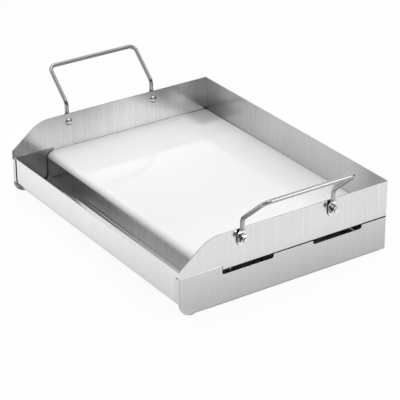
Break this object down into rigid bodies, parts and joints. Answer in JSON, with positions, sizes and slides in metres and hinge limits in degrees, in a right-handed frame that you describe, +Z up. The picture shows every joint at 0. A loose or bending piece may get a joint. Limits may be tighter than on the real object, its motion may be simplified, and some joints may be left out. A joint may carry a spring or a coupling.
{
  "type": "camp griddle plate",
  "caption": "Folded steel griddle pan with sloped side walls, a front grease trough, vented skirts to stand on a stove or grill, and bolted bent-rod handles.",
  "frame": {"origin": "middle of the footprint, on the surface that the skirts' feet stand on", "axes": "+Z up, +X to the right seen from the front, -Y towards the cook, where the grease trough is"},
  "size_m": [0.538, 0.333, 0.16],
  "materials": {
    "pan_steel": "fine brushed stainless sheet",
    "skirt_steel": "fine brushed stainless sheet",
    "brace_steel": "plain mill finish strip",
    "handle_rod": "bright polished rod",
    "bolt_steel": "polished dome head",
    "washer_steel": "bright plated",
    "nut_steel": "bright plated"
  },
  "bodies": {
    "griddle": {"griddle_pan": "pan_steel", "left_skirt": "skirt_steel", "right_skirt": "skirt_steel", "rear_skirt": "skirt_steel", "rising_brace": "brace_steel", "falling_brace": "brace_steel", "left_front_bolt": "bolt_steel", "left_rear_bolt": "bolt_steel", "right_front_bolt": "bolt_steel", "right_rear_bolt": "bolt_steel"},
    "left_handle": {"left_handle": "handle_rod", "left_front_washer": "washer_steel", "left_rear_washer": "washer_steel", "left_front_lock_washer": "washer_steel", "left_rear_lock_washer": "washer_steel"},
    "left_front_nut": {"left_front_nut": "nut_steel"},
    "left_rear_nut": {"left_rear_nut": "nut_steel"},
    "right_handle": {"right_handle": "handle_rod", "right_front_washer": "washer_steel", "right_rear_washer": "washer_steel", "right_front_lock_washer": "washer_steel", "right_rear_lock_washer": "washer_steel"},
    "right_front_nut": {"right_front_nut": "nut_steel"},
    "right_rear_nut": {"right_rear_nut": "nut_steel"}
  },
  "joints": [
    {"name": "left_handle_draw", "type": "slide", "parent": "griddle", "child": "left_handle", "axis": [-1, 0, 0], "range_m": [0, 0.03]},
    {"name": "left_front_nut_turn", "type": "hinge", "parent": "left_handle", "child": "left_front_nut", "pos_m": [-0.2241, -0.0725, 0.0885], "axis": [-1, 0, 0], "continuous": true},
    {"name": "left_rear_nut_turn", "type": "hinge", "parent": "left_handle", "child": "left_rear_nut", "pos_m": [-0.2241, 0.0715, 0.0885], "axis": [-1, 0, 0], "continuous": true},
    {"name": "right_handle_draw", "type": "slide", "parent": "griddle", "child": "right_handle", "axis": [1, 0, 0], "range_m": [0, 0.03]},
    {"name": "right_front_nut_turn", "type": "hinge", "parent": "right_handle", "child": "right_front_nut", "pos_m": [0.2241, -0.0725, 0.0885], "axis": [1, 0, 0], "continuous": true},
    {"name": "right_rear_nut_turn", "type": "hinge", "parent": "right_handle", "child": "right_rear_nut", "pos_m": [0.2241, 0.0715, 0.0885], "axis": [1, 0, 0], "continuous": true}
  ]
}
